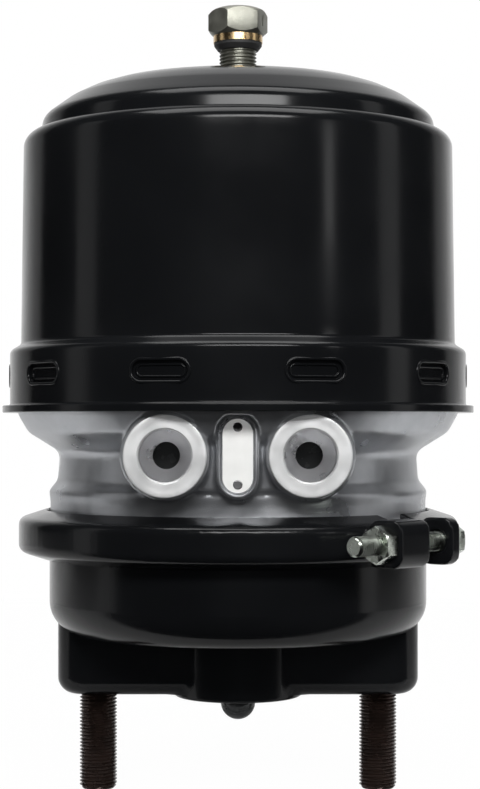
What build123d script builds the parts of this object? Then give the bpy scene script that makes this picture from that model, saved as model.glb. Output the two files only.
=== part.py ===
"""Air brake chamber for a disc brake: a spring brake stage above a service brake stage.

Millimetres. The origin is on the chamber's axis in the face that bolts to the caliper.
+Z runs up the axis to the release bolt, and -Y is the side that the air ports face.
Every piece is modelled at rest: spring held off, push rod drawn in.
"""
from build123d import *
from math import asin, atan2, cos, hypot, pi, radians, sqrt, tan
import os

# Fits between pieces
SEAT_GAP = 0.1          # between pieces that are pressed or clamped together
RUNNING_GAP = 0.3       # between pieces that slide or turn on each other
SCREW_GAP = 0.15        # between a plain shank and the hole that it is screwed into

# The bore that the spring piston runs in: the diameters of both stages follow from it
HOUSING_BORE = 178.0

# Fastening to the caliper
STUD_SPACING = 120.65
STUD_DIAMETER = 16.0
STUD_REACH = 42.0
STUD_SHANK_DIAMETER = 17.0      # pressed shank in the pad's wall
STUD_HEAD_DIAMETER = 20.0
STUD_HEAD_HEIGHT = 6.0
STUD_TIP_CHAMFER = 1.5
SPIGOT_DIAMETER = 55.0
SPIGOT_HEIGHT = 2.0
SPIGOT_EDGE = 1.2
SPIGOT_BORE = 49.0

# Service housing, the pressed steel cup under the clamp ring
SERVICE_DIAMETER = HOUSING_BORE - 16.0
SERVICE_WALL = 3.0
SERVICE_FLOOR = 25.5    # underside of the cup above the mounting face
SERVICE_CORNER = 14.0
PAD_LENGTH = STUD_SPACING + 33.35
PAD_WIDTH = 40.0
PAD_CORNER = 13.0
PAD_EDGE = 7.0
PAD_DRUM_FILLET = 6.0
PAD_DRUM_DIAMETER = SPIGOT_DIAMETER + 1.2

# V-shaped clamp joint between service housing and centre body
JOINT_HEIGHT = 68.0
JOINT_DIAMETER = HOUSING_BORE
JOINT_SLOPE = 18.0      # degrees
JOINT_RIM = 3.4         # thickness of each flange at its rim
DIAPHRAGM_BEAD = 4.0
CLAMP_WALL = 2.8
CLAMP_DIAMETER = JOINT_DIAMETER + 10.2
CLAMP_LEG_BORE = JOINT_DIAMETER - 13.5
CLAMP_CORNER = 3.6
CLAMP_GAP = 14.0
CLAMP_AZIMUTH = 48.0    # degrees from the port side round to the right
CLAMP_BOLT_RADIUS = JOINT_DIAMETER / 2 + 11.0
CLAMP_BOLT_DIAMETER = 8.0
CLAMP_BOLT_FLATS = 13.0
CLAMP_BOLT_HEAD = 5.3
CLAMP_NUT_HEIGHT = 6.5
CLAMP_BOLT_BEYOND_NUT = 13.0
CLAMP_HOLE = 9.0
LUG_LENGTH_NUT = 19.0
LUG_LENGTH_HEAD = 6.0
LUG_HEIGHT = 19.0
LUG_OVERHANG = 8.0      # lug metal outside the bolt's axis
LUG_ROUND = 5.0

# Centre body, die-cast aluminium
NECK_DIAMETER = JOINT_DIAMETER - 25.0
NECK_BASE = JOINT_HEIGHT + 23.0
NECK_TOP = JOINT_HEIGHT + 35.0
BEAD_DIAMETER = JOINT_DIAMETER - 15.6
BEAD_HEIGHT = JOINT_HEIGHT + 18.5
RECESS_ROOF = JOINT_HEIGHT + 34.5
RECESS_ROOF_DIAMETER = JOINT_DIAMETER - 48.0
RECESS_MOUTH_DIAMETER = JOINT_DIAMETER - 20.0
WEB_TOP = RECESS_ROOF + 22.5
FLARE_HEIGHT = WEB_TOP - 6.6
RIM_TOP = WEB_TOP + 17.0
RIM_WALL = 5.2

# Air ports and the plate boss between them
PORT_SPACING = 56.3
PORT_PAD_DIAMETER = 32.4
PORT_BOSS_DIAMETER = 35.0
PORT_HEIGHT = JOINT_HEIGHT + PORT_BOSS_DIAMETER / 2 + 16.9
PORT_FACE = NECK_DIAMETER / 2 + 13.5    # from the axis to the machined face
PORT_PAD_STEP = 1.2
PORT_BOSS_ROOT = 6.5    # how deep the bosses start in the neck's wall
PLATE_BOSS_ROOT = 3.0
PORT_BORE = 20.4        # minor diameter of the M22 x 1.5 thread
PORT_THREAD_LENGTH = 12.0
PORT_CHAMFER = 0.6
PORT_CONE_DEPTH = 4.0
PORT_PASSAGE = 10.8
RISER_DIAMETER = 7.0
PLATE_WIDTH = 11.8
PLATE_LENGTH = 28.8
PLATE_THICKNESS = 0.8
PLATE_FACE = PORT_FACE - 4.0
FRONT_CLEARANCE = 12.0  # how far the flare is cut back in front of the ports and the plate
PLATE_RIM = 1.4
PLATE_POCKET = 1.6
PLATE_PIN_SPACING = 22.4
PLATE_PIN_DIAMETER = 2.5
PLATE_PIN_LENGTH = 5.0
PLATE_PIN_HEAD = 0.5

# Spring piston, at rest one full stroke above its stop
STROKE = 57.0           # the full stroke of both stages
PISTON_WEB = 6.0
PISTON_SKIRT_DROP = 8.0
PISTON_SKIRT_RISE = 22.0
PISTON_BASE = WEB_TOP + PISTON_SKIRT_DROP + STROKE + 4.0
PISTON_WALL = 5.0
PISTON_LAND = 1.5       # from the housing's bore to the piston's outside
TUBE_DIAMETER = 40.0
TUBE_BORE = 28.0
FOOT_HEIGHT = 3.5
FOOT_SPIGOT = 4.0
TUBE_END = RECESS_ROOF + FOOT_HEIGHT + 0.5
GUIDE_RING_WIDTH = 6.0
LIP_SEAL_WIDTH = 5.0
RING_DEPTH = 3.0
BUSH_WALL = 2.0
BUSH_LENGTH = 12.0
TUBE_SEAL_WIDTH = 4.0

# Power spring, wound in above the piston
POWER_SPRING_HEIGHT = 55.8
POWER_SPRING_SEAT = 1.5     # from its top to the dome's inside
POWER_WIRE = 11.0
POWER_BASE_RADIUS = HOUSING_BORE / 2 - 19.0
POWER_TOP_RADIUS = POWER_BASE_RADIUS - 24.0
POWER_TURNS = 3.5

# Spring housing, the pressed steel cup on top
HOUSING_WALL = 3.0
HOUSING_BASE_DIAMETER = HOUSING_BORE + 8.2
HOUSING_TOP_DIAMETER = HOUSING_BORE + 5.8
HOUSING_TOP = PISTON_BASE + PISTON_WEB + RUNNING_GAP + POWER_SPRING_HEIGHT + POWER_SPRING_SEAT + HOUSING_WALL
LEDGE_HEIGHT = HOUSING_TOP - 21.0
LEDGE_CORNER = 6.0
DOME_DIAMETER = HOUSING_BORE - 9.1
DOME_SHOULDER_INSET = 10.8      # from the dome's outside in to its shoulder
DOME_CROWN_INSET = 13.65        # from the shoulder in to the flat crown
DOME_DROP = 8.0                 # from the crown down to the shoulder
DOME_EDGE_DROP = 7.4            # from the shoulder down to the dome's upright wall
SKIRT_DIAMETER = HOUSING_BORE + 17.6
SKIRT_BOTTOM = WEB_TOP - 5.3
SKIRT_TOP = SKIRT_BOTTOM + 27.8
LIP_DIAMETER = SKIRT_DIAMETER + 6.4
LIP_THICKNESS = 3.0
FLARE_DIAMETER = SKIRT_DIAMETER - 7.6   # of the centre body just below the skirt
LOCK_COUNT = 10
LOCK_HEIGHT = SKIRT_BOTTOM + 15.7
LOCK_LENGTH = 24.0
LOCK_WIDTH = 8.4
LOCK_DEPTH = 1.6
RIM_SEAL_HEIGHT = SKIRT_BOTTOM + 8.3

# Release bolt, at rest screwed out by its whole travel
RELEASE_DIAMETER = 16.0
RELEASE_PITCH = 1.5
RELEASE_TURNS = 10
RELEASE_TRAVEL = RELEASE_TURNS * RELEASE_PITCH      # until its seal is on the dome
RELEASE_FLATS = 22.5
RELEASE_HEAD_HEIGHT = 12.0
RELEASE_TURN = -20.0    # degrees, how the hexagon stands
WASHER_DIAMETER = 21.2
WASHER_THICKNESS = 3.0
SEAL_HEIGHT = 3.2
SEAL_TIP_DIAMETER = 16.8
RELEASE_HEAD_BASE = HOUSING_TOP + RELEASE_TRAVEL + 0.4 + SEAL_HEIGHT + WASHER_THICKNESS
BOSS_DIAMETER = 28.0
BOSS_HEIGHT = 12.0
COLLAR_DIAMETER = 24.0
COLLAR_HEIGHT = 8.0
COLLAR_BASE = TUBE_END + FOOT_SPIGOT + RELEASE_TRAVEL + 2.0
COLLAR_PIN_DIAMETER = 3.0
THRUST_WASHER_THICKNESS = 2.5

# Diaphragm, push rod, return spring and boot
DIAPHRAGM_THICKNESS = 2.6
PLATE_TOP = RECESS_ROOF - DIAPHRAGM_THICKNESS - 1.3     # top of the push plate at rest
PUSH_PLATE_DIAMETER = RECESS_ROOF_DIAMETER - 16.0
PUSH_PLATE_THICKNESS = 4.0
PUSH_PLATE_LIP = 5.0
ROD_DIAMETER = 14.0
ROD_NECK_DIAMETER = 12.0
ROD_HEAD_RADIUS = 9.0
ROD_HEAD_HEIGHT = PLATE_TOP - 11.0
ROD_TIP = -12.5
ROD_TIP_RADIUS = 7.45
SOCKET_DIAMETER = 30.0
SOCKET_DROP = 6.0       # retainer's reach below the head's centre
RETURN_WIRE = 4.0
RETURN_TOP_RADIUS = PUSH_PLATE_DIAMETER / 2 - 15.0
RETURN_BASE_RADIUS = RETURN_TOP_RADIUS - 6.0
RETURN_TURNS = 5
BOOT_WALL = 1.4
BOOT_BEAD = 3.4
BOOT_TOP = 14.0
BOOT_COLLAR = 5.0

PORT_SIDE = -1          # the ports face -Y
SIDES = (-1, 1)


def turned(*corners):
    """Body of revolution about Z from (radius, height) or (radius, height, rounding) corners."""
    outline = make_face(Polyline(*[corner[:2] for corner in corners], close=True))
    for corner in corners:
        if len(corner) == 3:
            vertex = outline.vertices().sort_by_distance((corner[0], corner[1]))[0]
            outline = fillet(vertex, corner[2])
    return revolve(Plane.XZ * outline, Axis.Z)


def disc(radius, bottom, top):
    """Plain upright cylinder between two heights."""
    return Pos(0, 0, bottom) * extrude(Circle(radius), top - bottom)


def tube(outer, inner, bottom, top):
    """Plain upright ring between two heights."""
    return turned((inner, bottom), (outer, bottom), (outer, top), (inner, top))


def across(radius, x, z, face, depth):
    """Cylinder along Y that starts at a distance from the axis on the port side and runs inwards."""
    plane = Plane((x, PORT_SIDE * face, z), x_dir=(1, 0, 0), z_dir=(0, -PORT_SIDE, 0))
    return plane * extrude(Circle(radius), depth)


def hexagon(flats, bottom, height, turn=0.0, corner_cut=0.94):
    """Upright hexagon bar whose top and bottom corners are turned off."""
    bar = Pos(0, 0, bottom) * Rot(0, 0, turn) * extrude(RegularPolygon(flats / 2, 6, major_radius=False), height)
    corner = flats / sqrt(3)
    flat = corner * corner_cut
    fall = (corner - flat) * 0.6
    blank = turned((0, bottom), (flat, bottom), (corner, bottom + fall), (corner, bottom + height - fall),
                   (flat, bottom + height), (0, bottom + height))
    return bar & blank


# V joint: both flanges and the clamp ring share this slope
joint_fall = tan(radians(JOINT_SLOPE))
joint_radius = JOINT_DIAMETER / 2
lower_joint = JOINT_HEIGHT - DIAPHRAGM_BEAD / 2
upper_joint = JOINT_HEIGHT + DIAPHRAGM_BEAD / 2


def upper_slope(radius, lift=0.0):
    """Height of the centre body flange's top at a radius."""
    return upper_joint + JOINT_RIM + (joint_radius - radius) * joint_fall + lift


def lower_slope(radius, lift=0.0):
    """Height of the service flange's underside at a radius."""
    return 2 * JOINT_HEIGHT - upper_slope(radius, lift)


def service_form(inset):
    """Outside of the service housing, drawn in by inset on every wall."""
    radius = SERVICE_DIAMETER / 2 - inset
    floor = SERVICE_FLOOR + inset
    cup = turned((0, floor), (radius, floor, SERVICE_CORNER - inset), (radius, lower_joint), (0, lower_joint))
    top = SERVICE_FLOOR + SERVICE_CORNER
    bar = Pos(0, 0, inset) * extrude(
        RectangleRounded(PAD_LENGTH - 2 * inset, PAD_WIDTH - 2 * inset, PAD_CORNER - inset), top - 2 * inset)
    bar = fillet(bar.edges().group_by(Axis.Z)[0], PAD_EDGE - inset)
    drum = disc(PAD_DRUM_DIAMETER / 2 - inset, inset, top - inset)
    pad = bar + drum
    uprights = [edge for edge in pad.edges().filter_by(Axis.Z)
                if abs((edge @ 0.5).X) < PAD_DRUM_DIAMETER / 2 and edge.length > SERVICE_FLOOR / 2]
    if inset == 0:
        pad = fillet(uprights, PAD_DRUM_FILLET)
    return cup + pad


def make_service_housing():
    radius = SERVICE_DIAMETER / 2
    flange = turned((radius - SERVICE_WALL, lower_joint), (radius - SERVICE_WALL, lower_slope(radius) - 2),
                    (radius, lower_slope(radius) - 2), (radius, lower_slope(radius)),
                    (joint_radius, lower_slope(joint_radius)), (joint_radius, lower_joint))
    spigot = turned((0, -SPIGOT_HEIGHT), (SPIGOT_DIAMETER / 2, -SPIGOT_HEIGHT, SPIGOT_EDGE),
                    (SPIGOT_DIAMETER / 2, SERVICE_WALL), (0, SERVICE_WALL))
    body = service_form(0) + flange + spigot - service_form(SERVICE_WALL)
    body -= disc(SPIGOT_BORE / 2, -2 * SPIGOT_HEIGHT, SERVICE_FLOOR)
    for side in SIDES:
        body -= Pos(side * STUD_SPACING / 2, 0, 0) * disc(STUD_SHANK_DIAMETER / 2 + SEAT_GAP, -1, 2 * SERVICE_WALL)
    return body


def make_mounting_studs():
    radius = STUD_DIAMETER / 2
    shank = STUD_SHANK_DIAMETER / 2
    stud = turned((0, -STUD_REACH), (radius - STUD_TIP_CHAMFER, -STUD_REACH), (radius, STUD_TIP_CHAMFER - STUD_REACH),
                  (radius, 0), (shank, 0), (shank, SERVICE_WALL), (STUD_HEAD_DIAMETER / 2, SERVICE_WALL),
                  (STUD_HEAD_DIAMETER / 2, SERVICE_WALL + STUD_HEAD_HEIGHT, 1), (0, SERVICE_WALL + STUD_HEAD_HEIGHT))
    return Compound([Pos(side * STUD_SPACING / 2, 0, 0) * stud for side in SIDES])


def make_clamp_ring():
    outer = CLAMP_DIAMETER / 2
    bore = CLAMP_LEG_BORE / 2
    channel = joint_radius + 1.2
    leg = CLAMP_WALL / cos(radians(JOINT_SLOPE)) + SEAT_GAP
    band = turned(
        (bore, upper_slope(bore, SEAT_GAP)), (channel, upper_slope(channel, SEAT_GAP), 1),
        (channel, lower_slope(channel, SEAT_GAP), 1), (bore, lower_slope(bore, SEAT_GAP)),
        (bore, lower_slope(bore, leg)), (outer, lower_slope(outer, leg), CLAMP_CORNER),
        (outer, upper_slope(outer, leg), CLAMP_CORNER), (bore, upper_slope(bore, leg)))
    inner_edge = channel + CLAMP_WALL / 2
    outer_edge = CLAMP_BOLT_RADIUS + LUG_OVERHANG
    lug_face = Pos((inner_edge + outer_edge) / 2, JOINT_HEIGHT) * RectangleRounded(
        outer_edge - inner_edge, LUG_HEIGHT, LUG_ROUND)
    nut_lug = Plane.XZ * Pos(0, 0, CLAMP_GAP / 2) * extrude(lug_face, LUG_LENGTH_NUT)
    head_lug = Plane.XZ * Pos(0, 0, -CLAMP_GAP / 2 - LUG_LENGTH_HEAD) * extrude(lug_face, LUG_LENGTH_HEAD)
    gap = Pos(outer, 0, JOINT_HEIGHT) * Box(2 * outer, CLAMP_GAP, 2 * LUG_HEIGHT,
                                            align=(Align.CENTER, Align.CENTER, Align.CENTER))
    hole = Plane.XZ * Pos(CLAMP_BOLT_RADIUS, JOINT_HEIGHT, -2 * LUG_LENGTH_NUT) * extrude(
        Circle(CLAMP_HOLE / 2), 4 * LUG_LENGTH_NUT)
    return at_clamp(band - gap + nut_lug + head_lug - hole)


def at_clamp(piece):
    """Turns a piece modelled with the clamp's gap on +X to where the gap is."""
    return Rot(0, 0, CLAMP_AZIMUTH - 90) * piece


def along_clamp_bolt(piece):
    """Lays an upright piece along the clamp bolt, its +Z towards the nut and its origin mid-gap."""
    return at_clamp(Pos(CLAMP_BOLT_RADIUS, 0, JOINT_HEIGHT) * Rot(90, 0, 0) * piece)


def make_clamp_bolt():
    seat = -CLAMP_GAP / 2 - LUG_LENGTH_HEAD
    tip = CLAMP_GAP / 2 + LUG_LENGTH_NUT + CLAMP_NUT_HEIGHT + CLAMP_BOLT_BEYOND_NUT
    radius = CLAMP_BOLT_DIAMETER / 2
    shank = turned((0, seat), (radius, seat), (radius, tip - 1), (radius - 1, tip), (0, tip))
    head = hexagon(CLAMP_BOLT_FLATS, seat - CLAMP_BOLT_HEAD, CLAMP_BOLT_HEAD, turn=30)
    return along_clamp_bolt(head + shank)


def make_clamp_nut():
    base = CLAMP_GAP / 2 + LUG_LENGTH_NUT
    nut = hexagon(CLAMP_BOLT_FLATS, base, CLAMP_NUT_HEIGHT, turn=30)
    return along_clamp_bolt(nut - disc(CLAMP_BOLT_DIAMETER / 2 + SEAT_GAP, base - 1, base + 2 * CLAMP_NUT_HEIGHT))


# Rim of the centre body inside the spring housing's skirt
rim_radius = SKIRT_DIAMETER / 2 - HOUSING_WALL - SEAT_GAP
rim_bore = rim_radius - RIM_WALL
tube_radius = TUBE_DIAMETER / 2
bush_seat = tube_radius + RUNNING_GAP + BUSH_WALL


def port_boss(x, diameter, face):
    """Round boss from the neck's wall out to a face, short of the recess inside."""
    root = NECK_DIAMETER / 2 - PORT_BOSS_ROOT
    return across(diameter / 2, x, PORT_HEIGHT, face, face - root)


def make_centre_body():
    neck = NECK_DIAMETER / 2
    bead = BEAD_DIAMETER / 2
    flare = FLARE_DIAMETER / 2
    flange_root = bead - 0.6
    body = turned(
        (0, RECESS_ROOF), (RECESS_ROOF_DIAMETER / 2, RECESS_ROOF, 5), (RECESS_MOUTH_DIAMETER / 2, upper_joint),
        (joint_radius, upper_joint), (joint_radius, upper_slope(joint_radius)),
        (flange_root, upper_slope(flange_root), 2), (flange_root, BEAD_HEIGHT - 4, 2), (bead, BEAD_HEIGHT, 2),
        (neck + 1, NECK_BASE, 3), (neck, NECK_TOP, 5), (flare - 4, FLARE_HEIGHT - 7, 7), (flare, FLARE_HEIGHT, 2),
        (rim_radius, SKIRT_BOTTOM + 0.6), (rim_radius, RIM_TOP), (rim_bore, RIM_TOP),
        (rim_bore, WEB_TOP, 4), (0, WEB_TOP))
    for side in SIDES:
        x = side * PORT_SPACING / 2
        body += port_boss(x, PORT_BOSS_DIAMETER, PORT_FACE - PORT_PAD_STEP)
        body += port_boss(x, PORT_PAD_DIAMETER, PORT_FACE)
    body += make_plate_boss()
    body -= tube(FLARE_DIAMETER, rim_radius, SKIRT_BOTTOM - RUNNING_GAP, RIM_TOP)
    body -= make_front_clearance()
    body -= disc(bush_seat, RECESS_ROOF - 1, RECESS_ROOF + 2 + BUSH_LENGTH)
    body -= disc(tube_radius + RUNNING_GAP, RECESS_ROOF - 1, WEB_TOP + 1)
    body -= disc(bush_seat, WEB_TOP - 2 - TUBE_SEAL_WIDTH, WEB_TOP - 2)
    body -= tube(rim_radius + 1, rim_radius - LOCK_DEPTH - 0.4,
                 LOCK_HEIGHT - LOCK_WIDTH / 2 - 0.5, LOCK_HEIGHT + LOCK_WIDTH / 2 + 0.5)
    body -= tube(rim_radius + 1, rim_radius - RING_DEPTH, RIM_SEAL_HEIGHT - 2, RIM_SEAL_HEIGHT + 2)
    for side in SIDES:
        body -= make_port(side * PORT_SPACING / 2)
    body -= make_passages()
    return body - make_plate_pocket()


def make_front_clearance():
    """What a cutter takes off the flare in front of the port faces and the plate."""
    cut = plate_slot(2 * PLATE_RIM, -FRONT_CLEARANCE, FRONT_CLEARANCE)
    for side in SIDES:
        cut += across(PORT_PAD_DIAMETER / 2 + PORT_PAD_STEP, side * PORT_SPACING / 2, PORT_HEIGHT,
                      PORT_FACE + FRONT_CLEARANCE, FRONT_CLEARANCE)
    return cut & disc(FLARE_DIAMETER, 0, FLARE_HEIGHT)


def make_plate_boss():
    """Block that stands between the ports and carries the plate."""
    inner = NECK_DIAMETER / 2 - PLATE_BOSS_ROOT
    plane = Plane((0, PORT_SIDE * PLATE_FACE, PORT_HEIGHT), x_dir=(1, 0, 0), z_dir=(0, -PORT_SIDE, 0))
    block = SlotOverall(PLATE_LENGTH + 4 * PLATE_RIM, PLATE_WIDTH + 4 * PLATE_RIM, rotation=90)
    wall = Rectangle(PORT_SPACING, PORT_BOSS_DIAMETER * 0.8)
    return plane * extrude(block, PLATE_FACE - inner) + plane * Pos(0, 0, 4) * extrude(wall, PLATE_FACE - 4 - inner)


def plate_slot(grow, start, depth):
    """Rounded bar the shape of the plate, grown all round, from a depth below the boss face."""
    plane = Plane((0, PORT_SIDE * (PLATE_FACE - start), PORT_HEIGHT), x_dir=(1, 0, 0), z_dir=(0, -PORT_SIDE, 0))
    return plane * extrude(SlotOverall(PLATE_LENGTH + 2 * grow, PLATE_WIDTH + 2 * grow, rotation=90), depth)


def make_plate_pocket():
    pocket = plate_slot(PLATE_RIM, -1, 1 + PLATE_POCKET)
    for side in SIDES:
        pocket += across(PLATE_PIN_DIAMETER / 2 + SEAT_GAP, 0, PORT_HEIGHT + side * PLATE_PIN_SPACING / 2,
                         PLATE_FACE, PLATE_POCKET + PLATE_PIN_LENGTH)
    return pocket


def make_port(x):
    """Threaded port, its drill cone and the passage behind it."""
    radius = PORT_BORE / 2
    end = PORT_THREAD_LENGTH + PORT_CHAMFER
    bore = turned((0, -1), (radius + PORT_CHAMFER + 1, -1), (radius, PORT_CHAMFER), (radius, end),
                  (PORT_PASSAGE / 2, end + PORT_CONE_DEPTH), (0, end + PORT_CONE_DEPTH))
    return Plane((x, PORT_SIDE * PORT_FACE, PORT_HEIGHT), x_dir=(1, 0, 0), z_dir=(0, -PORT_SIDE, 0)) * bore


def make_passages():
    """Service port: straight into the recess. Spring port: up to the chamber above the web."""
    start = PORT_FACE - PORT_THREAD_LENGTH
    service = across(PORT_PASSAGE / 2, -PORT_SPACING / 2, PORT_HEIGHT, start, start - RECESS_ROOF_DIAMETER / 2 + 10)
    spring = across(PORT_PASSAGE / 2, PORT_SPACING / 2, PORT_HEIGHT, start, start - NECK_DIAMETER / 2 + 6)
    riser_y = PORT_SIDE * (NECK_DIAMETER / 2 - 3)
    riser = Pos(PORT_SPACING / 2, riser_y, 0) * disc(RISER_DIAMETER / 2, PORT_HEIGHT, WEB_TOP + 1)
    return service + spring + riser


def make_rating_plate():
    plate = plate_slot(0, PLATE_POCKET - PLATE_THICKNESS - SEAT_GAP / 2, PLATE_THICKNESS)
    for side in SIDES:
        plate -= across(PLATE_PIN_DIAMETER / 2 + SEAT_GAP, 0, PORT_HEIGHT + side * PLATE_PIN_SPACING / 2,
                        PLATE_FACE + 1, 3 * PLATE_POCKET)
    return plate


def make_plate_pins():
    """Two round-headed drive pins that hold the plate."""
    pins = []
    head_face = PLATE_FACE - PLATE_POCKET + PLATE_THICKNESS + PLATE_PIN_HEAD + SEAT_GAP
    for side in SIDES:
        z = PORT_HEIGHT + side * PLATE_PIN_SPACING / 2
        head = across(PLATE_PIN_DIAMETER / 2 + 0.6, 0, z, head_face, PLATE_PIN_HEAD)
        head = fillet(head.edges().sort_by(Axis.Y)[0], PLATE_PIN_HEAD * 0.8)
        pins.append(head + across(PLATE_PIN_DIAMETER / 2, 0, z, head_face - PLATE_PIN_HEAD / 2, PLATE_PIN_LENGTH))
    return Compound(pins)


def make_rim_seal():
    section_radius = RING_DEPTH / 2
    return Pos(0, 0, RIM_SEAL_HEIGHT) * Torus(rim_radius - RING_DEPTH + section_radius, section_radius - 0.05)


def make_tube_bush():
    return tube(bush_seat - SEAT_GAP, tube_radius + RUNNING_GAP / 2, RECESS_ROOF + 2, RECESS_ROOF + 2 + BUSH_LENGTH)


def make_tube_seal():
    bottom = WEB_TOP - 2 - TUBE_SEAL_WIDTH + SEAT_GAP
    return tube(bush_seat - SEAT_GAP, tube_radius + RUNNING_GAP / 2, bottom, WEB_TOP - 2 - SEAT_GAP)


def make_spring_housing():
    base = HOUSING_BASE_DIAMETER / 2
    top = HOUSING_TOP_DIAMETER / 2
    dome = DOME_DIAMETER / 2
    skirt = SKIRT_DIAMETER / 2
    bore = HOUSING_BORE / 2
    hole = RELEASE_DIAMETER / 2 + RUNNING_GAP
    crown = HOUSING_TOP
    shoulder = crown - DOME_DROP
    shoulder_radius = dome - DOME_SHOULDER_INSET
    crown_radius = shoulder_radius - DOME_CROWN_INSET
    crown_round = 0.88 * hypot(DOME_CROWN_INSET, DOME_DROP) / tan(atan2(DOME_DROP, DOME_CROWN_INSET) / 2)
    edge = shoulder - DOME_EDGE_DROP
    inside = crown - HOUSING_WALL
    lip_top = SKIRT_BOTTOM + LIP_THICKNESS
    shell = turned(
        (hole, crown), (crown_radius, crown - 0.3, crown_round), (shoulder_radius, shoulder, 9), (dome - 0.6, edge, 6),
        (dome, LEDGE_HEIGHT - 1), (dome + 0.8, LEDGE_HEIGHT - 1), (top, LEDGE_HEIGHT - 0.6, LEDGE_CORNER),
        (base, SKIRT_TOP + 1.2, 2), (skirt, SKIRT_TOP - 1.6, 3), (skirt, lip_top, 1),
        (LIP_DIAMETER / 2, lip_top), (LIP_DIAMETER / 2, SKIRT_BOTTOM), (skirt - HOUSING_WALL, SKIRT_BOTTOM),
        (skirt - HOUSING_WALL, RIM_TOP + SEAT_GAP), (bore, RIM_TOP + SEAT_GAP), (bore, LEDGE_HEIGHT - 8, 6),
        (dome - HOUSING_WALL, LEDGE_HEIGHT - HOUSING_WALL, 3), (dome - HOUSING_WALL, edge - 2, 4),
        (shoulder_radius - 1.7, shoulder - 2.5, 6), (crown_radius - 1.4, inside - 0.3), (hole, inside))
    for index in range(LOCK_COUNT):
        shell = lock_dimple(shell, (index + 0.5) * 360 / LOCK_COUNT)
    return shell


def lock_dimple(shell, azimuth):
    """Presses one oval dimple into the skirt, so that the metal locks in the rim's groove."""
    skirt = SKIRT_DIAMETER / 2
    plane = Plane((0, PORT_SIDE * skirt, LOCK_HEIGHT), x_dir=(1, 0, 0), z_dir=(0, PORT_SIDE, 0))
    cutter = plane * Pos(0, 0, -5) * extrude(SlotOverall(LOCK_LENGTH, LOCK_WIDTH), 10)
    cutter -= disc(skirt - LOCK_DEPTH, LOCK_HEIGHT - LOCK_WIDTH, LOCK_HEIGHT + LOCK_WIDTH)
    bulge = plane * Pos(0, 0, -8) * extrude(
        SlotOverall(LOCK_LENGTH - HOUSING_WALL, LOCK_WIDTH - HOUSING_WALL / 2), 6)
    reach = tube(skirt - HOUSING_WALL + 0.5, skirt - HOUSING_WALL - LOCK_DEPTH,
                 LOCK_HEIGHT - LOCK_WIDTH, LOCK_HEIGHT + LOCK_WIDTH)
    return shell - Rot(0, 0, azimuth) * cutter + Rot(0, 0, azimuth) * (bulge & reach)


def make_release_boss():
    """Threaded boss welded inside the dome, which the release bolt turns in."""
    top = HOUSING_TOP - HOUSING_WALL - SEAT_GAP
    hole = RELEASE_DIAMETER / 2 + SCREW_GAP
    return turned((hole, top - BOSS_HEIGHT), (BOSS_DIAMETER / 2, top - BOSS_HEIGHT, 1.5), (BOSS_DIAMETER / 2, top - 0.2),
                  (hole, top))


def make_release_bolt():
    radius = RELEASE_DIAMETER / 2
    head = hexagon(RELEASE_FLATS, RELEASE_HEAD_BASE, RELEASE_HEAD_HEIGHT, RELEASE_TURN, corner_cut=0.86)
    shank = turned((0, COLLAR_BASE - 1), (radius - 1, COLLAR_BASE - 1), (radius, COLLAR_BASE),
                   (radius, RELEASE_HEAD_BASE), (0, RELEASE_HEAD_BASE))
    return head + shank - collar_pin_bar(COLLAR_PIN_DIAMETER / 2 + SEAT_GAP / 2)


def collar_pin_bar(radius):
    height = COLLAR_BASE + COLLAR_HEIGHT / 2
    return Pos(0, 0, height) * Rot(0, 90, 0) * Cylinder(radius, COLLAR_DIAMETER - 1)


def make_release_washer():
    return tube(WASHER_DIAMETER / 2, RELEASE_DIAMETER / 2 + SEAT_GAP, RELEASE_HEAD_BASE - WASHER_THICKNESS,
                RELEASE_HEAD_BASE)


def make_release_seal():
    top = RELEASE_HEAD_BASE - WASHER_THICKNESS
    inner = RELEASE_DIAMETER / 2 + SEAT_GAP
    return turned((inner, top - SEAL_HEIGHT), (SEAL_TIP_DIAMETER / 2 + 0.4, top - SEAL_HEIGHT),
                  (WASHER_DIAMETER / 2 - 0.3, top - 1.2, 0.6), (WASHER_DIAMETER / 2 - 0.3, top), (inner, top))


def make_thrust_collar():
    collar = tube(COLLAR_DIAMETER / 2, RELEASE_DIAMETER / 2 + SEAT_GAP, COLLAR_BASE, COLLAR_BASE + COLLAR_HEIGHT)
    return collar - collar_pin_bar(COLLAR_PIN_DIAMETER / 2 + SEAT_GAP / 2)


def make_thrust_washer():
    bottom = COLLAR_BASE + COLLAR_HEIGHT + RUNNING_GAP
    return tube(COLLAR_DIAMETER / 2 + 1, RELEASE_DIAMETER / 2 + RUNNING_GAP, bottom, bottom + THRUST_WASHER_THICKNESS)


def make_spring_piston():
    outer = HOUSING_BORE / 2 - PISTON_LAND
    skirt_base = PISTON_BASE - PISTON_SKIRT_DROP
    skirt_top = PISTON_BASE + PISTON_SKIRT_RISE
    web_top = PISTON_BASE + PISTON_WEB
    wall = outer - PISTON_WALL
    piston = turned(
        (tube_radius, TUBE_END), (tube_radius, PISTON_BASE, 4), (wall, PISTON_BASE, 3), (wall, skirt_base),
        (outer, skirt_base), (outer, skirt_top), (wall, skirt_top), (wall, web_top, 3), (tube_radius + 2, web_top, 2),
        (tube_radius - 2, web_top + 4, 2), (RELEASE_DIAMETER / 2 + RUNNING_GAP, web_top + 4),
        (RELEASE_DIAMETER / 2 + RUNNING_GAP, PISTON_BASE + 2), (TUBE_BORE / 2, PISTON_BASE + 2),
        (TUBE_BORE / 2, TUBE_END))
    piston -= tube(outer + 1, outer - RING_DEPTH, guide_ring_base, guide_ring_base + GUIDE_RING_WIDTH)
    return piston - tube(outer + 1, outer - RING_DEPTH, lip_seal_base, lip_seal_base + LIP_SEAL_WIDTH)


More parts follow.
